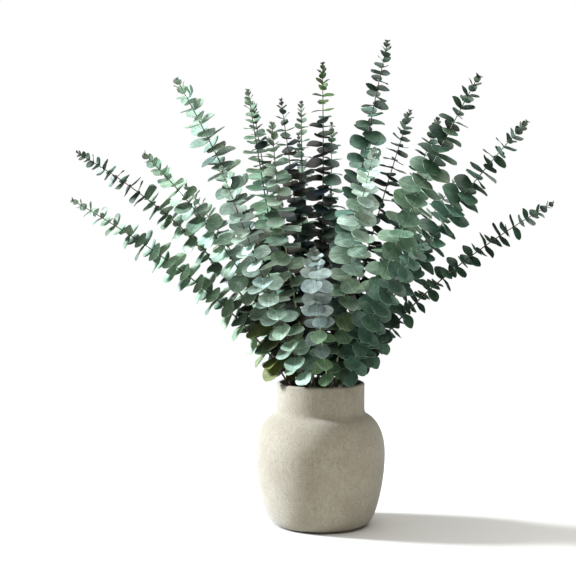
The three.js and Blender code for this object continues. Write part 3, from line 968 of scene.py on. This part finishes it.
def leaf_pattern(settings, shape):
    """One round leaf, 1 long and 1 wide, with its root at the origin and its tip along +X. The
    tint's fourth value is 1 on top and 0 underneath."""
    bm = bmesh.new()
    tint = bm.verts.layers.float_color.new("tint")
    chart = bm.loops.layers.uv.new("leaf")
    bmesh.ops.create_circle(bm, cap_ends=True, radius=0.5, segments=settings.sides)
    outer = bmesh.ops.inset_region(bm, faces=bm.faces[:], thickness=LEAF_RING)["faces"]
    bmesh.ops.poke(bm, faces=[face for face in bm.faces if face not in outer])
    bmesh.ops.solidify(bm, geom=bm.faces[:], thickness=settings.thickness)
    bmesh.ops.recalc_face_normals(bm, faces=bm.faces)
    bm.normal_update()
    heights = [vert.co.z for vert in bm.verts]
    middle = (min(heights) + max(heights)) / 2
    rims = {face for face in bm.faces if abs(face.normal.z) < 0.5}
    for face in bm.faces:
        face.smooth = True
        for loop in face.loops:
            loop[chart].uv = (loop.vert.co.x + 0.5, loop.vert.co.y + 0.5)
    for edge in bm.edges:
        edge.smooth = len(rims.intersection(edge.link_faces)) != 1
    for vert in bm.verts:
        top = vert.co.z > middle
        vert[tint] = (1, 1, 1, 1 if top else 0)
        x, y = vert.co.x + 0.5, vert.co.y
        broad = 1 - OVATE * (x - 0.5) * 2
        point = POINT_LENGTH if x > POINT_START else 0
        lobe = LOBE_DEPTH * math.exp(-(((abs(y) - LOBE_PLACE) / LOBE_WIDTH) ** 2)) * (x < LOBE_END)
        level = settings.thickness / 2 if top else -settings.thickness / 2
        vert.co = (x + point - lobe, y * broad, level + leaf_bend(x, y, shape))
    return finish_mesh("leaf_pattern", bm)


def leaf_place(leaf):
    place = np.eye(4)
    place[:3, 0] = leaf.along * leaf.length * MM
    place[:3, 1] = leaf.across * leaf.width * MM
    place[:3, 2] = leaf.facing * leaf.length * MM
    place[:3, 3] = leaf.root * MM
    return Matrix(place.tolist())


# Painted shade: how much darker a leaf's colour is painted for the leaves that cover it from the light
def painted_shade_of(leaf):
    return 1 - PAINTED_SHADE_DEPTH * leaf.cover


def leaf_colour(leaf, finishes, settings):
    """The branch's finish at that height, lighter or darker and warmer or cooler by a draw, and painted
    darker as shade where other leaves cover it from the light.
    """
    young, grown, old = (Vector(getattr(settings, finish)) for finish in finishes.split())
    height = leaf.share + sway(HEIGHT_SWAY, *leaf.keys, HEIGHT_DRAW)
    colour = grown.lerp(old, ease((OLD_CHANGE[0] - height) / OLD_CHANGE[1]))
    colour = colour.lerp(young, ease((height - YOUNG_CHANGE[0]) / YOUNG_CHANGE[1]))
    bud = BUD_SHARE * ease((leaf.share - BUD_CHANGE[0]) / BUD_CHANGE[1])
    colour = colour.lerp(Vector(settings.bud), bud)
    warm = sway(WARMTH_SWAY, *leaf.keys, WARMTH_DRAW)
    # The tone carries the painted shade
    tone = (1 + sway(TONE_SWAY, *leaf.keys, TONE_DRAW)) * painted_shade_of(leaf)
    return Vector((colour.x * (tone + warm), colour.y * tone, colour.z * (tone - warm)))


def kept_in_box(leaf, bunch):
    """Shrinks a leaf at the edge of the bunch until its round outline stays in the solids' box."""
    while bunch.leaves_box(leaf):
        leaf.length *= SHRINK
        leaf.width *= SHRINK
        leaf.ring = leaf.root + (leaf.ring - leaf.root) * SHRINK
    return leaf


def tip_leaves(path, branch):
    """Leaflets that stand nearly upright round the growing tip."""
    leaflets = []
    stem = path.along(1)
    for place, (length, lift, spin) in enumerate(TIP_LEAFLETS):
        leaf = Leaf(path, branch, 0, place, path.length - FIRST_PAIR, (0, 0, 1))
        angle = math.radians(path.plan.turn + TIP_TURN + spin)
        out = np.cross(stem, path.side) * math.cos(angle) + path.side * math.sin(angle)
        leaf.length, leaf.width, leaf.share = length, length * TIP_BREADTH, 1
        leaf.lay(path.tip - stem * length * TIP_SEAT, out, stem, math.radians(lift), 0)
        leaflets.append(leaf)
    return leaflets


def leaves_mesh(bunch, branch, path, patterns, settings):
    bm = bmesh.new()
    tint = bm.verts.layers.float_color.new("tint")
    bm.loops.layers.uv.new("leaf")
    leaves = [leaf for leaf in bunch.leaves if leaf.branch == branch] + tip_leaves(path, branch)
    under = Vector(settings.wax)
    for leaf in leaves:
        start = len(bm.verts)
        pick = int(chance(*leaf.keys, SHAPE_DRAW) * len(patterns))
        bm.from_mesh(patterns[pick])
        bm.verts.ensure_lookup_table()
        grown = bm.verts[start:]
        bmesh.ops.transform(bm, matrix=leaf_place(kept_in_box(leaf, bunch)), verts=grown)
        top = leaf_colour(leaf, path.plan.leaves, settings)
        # The underside's wax colour gets the same painted shade
        bottom = top.lerp(under * painted_shade_of(leaf), UNDERSIDE_WAX)
        smooth, veiny = VEINED_LENGTHS
        veined = VEIN_SHARE * ease((leaf.length - smooth) / (veiny - smooth))
        for vert in grown:
            vert[tint] = (*(top if vert[tint][3] > 0.5 else bottom), veined)
    return bm


class EUCALYPTUS_OT_throw_vase(bpy.types.Operator):
    """Spins the vase's profile into a finely curved wall and gives it its stoneware"""

    bl_idname = "eucalyptus.throw_vase"
    bl_label = "Vase"

    def execute(self, context):
        settings = context.scene.eucalyptus_vase
        finish_piece(
            "stoneware_vase", vase_mesh(settings), stoneware_material(settings), "vase"
        )
        return {"FINISHED"}


class EUCALYPTUS_OT_grow_stems(bpy.types.Operator):
    """Grows every stem from its cut end on the vase's floor to its tip"""

    bl_idname = "eucalyptus.grow_stems"
    bl_label = "Stems"

    def execute(self, context):
        settings = context.scene.eucalyptus_stems
        material = stem_material()
        for name, path in zip(BRANCHES, grown_bunch().paths):
            finish_piece(
                name + "_stem", stem_mesh(path, settings), material, "branch_" + name
            )
        return {"FINISHED"}


class EUCALYPTUS_OT_grow_leaves(bpy.types.Operator):
    """Grows the pairs of leaves on every stem"""

    bl_idname = "eucalyptus.grow_leaves"
    bl_label = "Leaves"

    def execute(self, context):
        settings = context.scene.eucalyptus_leaves
        material = leaf_material(settings)
        patterns = [leaf_pattern(settings, shape) for shape in LEAF_SHAPES]
        bunch = grown_bunch()
        for branch, (name, path) in enumerate(zip(BRANCHES, bunch.paths)):
            finish_piece(
                name + "_leaves", leaves_mesh(bunch, branch, path, patterns, settings), material,
                "branch_" + name,
            )
        for pattern in patterns:
            bpy.data.meshes.remove(pattern)
        return {"FINISHED"}


def add_sun(name, strength, width, direction, colour=(1, 1, 1)):
    sun = bpy.data.lights.new(name, "SUN")
    sun.energy = strength
    sun.color = colour[:3]
    sun.angle = width
    lamp = put_in_scene(name, sun)
    lamp.rotation_mode = "QUATERNION"
    lamp.rotation_quaternion = (-Vector(direction)).to_track_quat("-Z", "Y")


class EUCALYPTUS_OT_set_stage(bpy.types.Operator):
    """Lays the floor and sets the lights, the backdrop and the camera"""

    bl_idname = "eucalyptus.set_stage"
    bl_label = "Stage"

    def execute(self, context):
        settings = context.scene.eucalyptus_stage
        self.lay_floor(settings)
        side, height = settings.key_side, settings.key_height
        key = (-math.cos(side) * math.cos(height), math.sin(side) * math.cos(height), math.sin(height))
        add_sun("key_light", settings.key_strength, settings.key_softness, key, settings.key_colour)
        add_sun("top_light", settings.top_strength, TOP_WIDTH, (0, 0, 1))
        add_sun("front_light", settings.front_strength, FRONT_WIDTH, FRONT_SIDE, settings.front_colour)
        self.light_world(context.scene, settings)
        self.place_camera(context.scene)
        context.scene.view_settings.view_transform = "Standard"
        return {"FINISHED"}

    def lay_floor(self, settings):
        bm = bmesh.new()
        bmesh.ops.create_circle(bm, cap_ends=True, radius=settings.floor_radius, segments=FLOOR_SIDES)
        mesh = finish_mesh("floor", bm)
        mesh.materials.append(floor_material(settings))
        put_in_scene("floor", mesh)

    def light_world(self, scene, settings):
        """The backdrop is bright to look at, but lights the object only a little."""
        world = bpy.data.worlds.new("studio")
        world.use_nodes = True
        tree = world.node_tree
        tree.nodes.clear()
        seen = add_node(tree, "LightPath").outputs["Is Camera Ray"]
        fill = add_node(tree, "Background", {"Color": (1, 1, 1, 1), "Strength": settings.fill})
        backdrop = add_node(tree, "Background", {"Color": (1, 1, 1, 1), "Strength": settings.backdrop})
        shader = add_node(tree, "MixShader", {0: seen, 1: fill, 2: backdrop})
        add_node(tree, "OutputWorld", {"Surface": shader})
        scene.world = world

    def place_camera(self, scene):
        data = bpy.data.cameras.new("camera")
        data.lens = CAMERA_LENS
        data.sensor_width = SENSOR_WIDTH
        camera = put_in_scene("camera", data)
        camera.location = CAMERA_PLACE
        camera.rotation_euler = (math.pi / 2 - CAMERA_FALL, 0, 0)
        scene.camera = camera


class EUCALYPTUS_PT_pieces(bpy.types.Panel):
    """Lists the pieces with their sizes and colours"""

    bl_idname = "EUCALYPTUS_PT_pieces"
    bl_label = "Eucalyptus in a vase"
    bl_space_type = "VIEW_3D"
    bl_region_type = "UI"
    bl_category = "Eucalyptus"

    def draw(self, context):
        for operator, (name, settings) in zip(OPERATORS, SETTINGS.items()):
            box = self.layout.box()
            box.operator(operator.bl_idname)
            for key in settings.__annotations__:
                box.prop(getattr(context.scene, name), key)


SETTINGS = {
    "eucalyptus_vase": VaseSettings,
    "eucalyptus_stems": StemSettings,
    "eucalyptus_leaves": LeafSettings,
    "eucalyptus_stage": StageSettings,
}
OPERATORS = (
    EUCALYPTUS_OT_throw_vase,
    EUCALYPTUS_OT_grow_stems,
    EUCALYPTUS_OT_grow_leaves,
    EUCALYPTUS_OT_set_stage,
)


def register():
    for made in (*SETTINGS.values(), *OPERATORS, EUCALYPTUS_PT_pieces):
        bpy.utils.register_class(made)
    for name, settings in SETTINGS.items():
        setattr(bpy.types.Scene, name, PointerProperty(type=settings))


def unregister():
    for name in SETTINGS:
        delattr(bpy.types.Scene, name)
    for made in reversed((*SETTINGS.values(), *OPERATORS, EUCALYPTUS_PT_pieces)):
        bpy.utils.unregister_class(made)


def main():
    register()
    bpy.ops.eucalyptus.throw_vase()
    bpy.ops.eucalyptus.grow_stems()
    bpy.ops.eucalyptus.grow_leaves()
    bpy.ops.eucalyptus.set_stage()


if __name__ == "__main__":
    main()
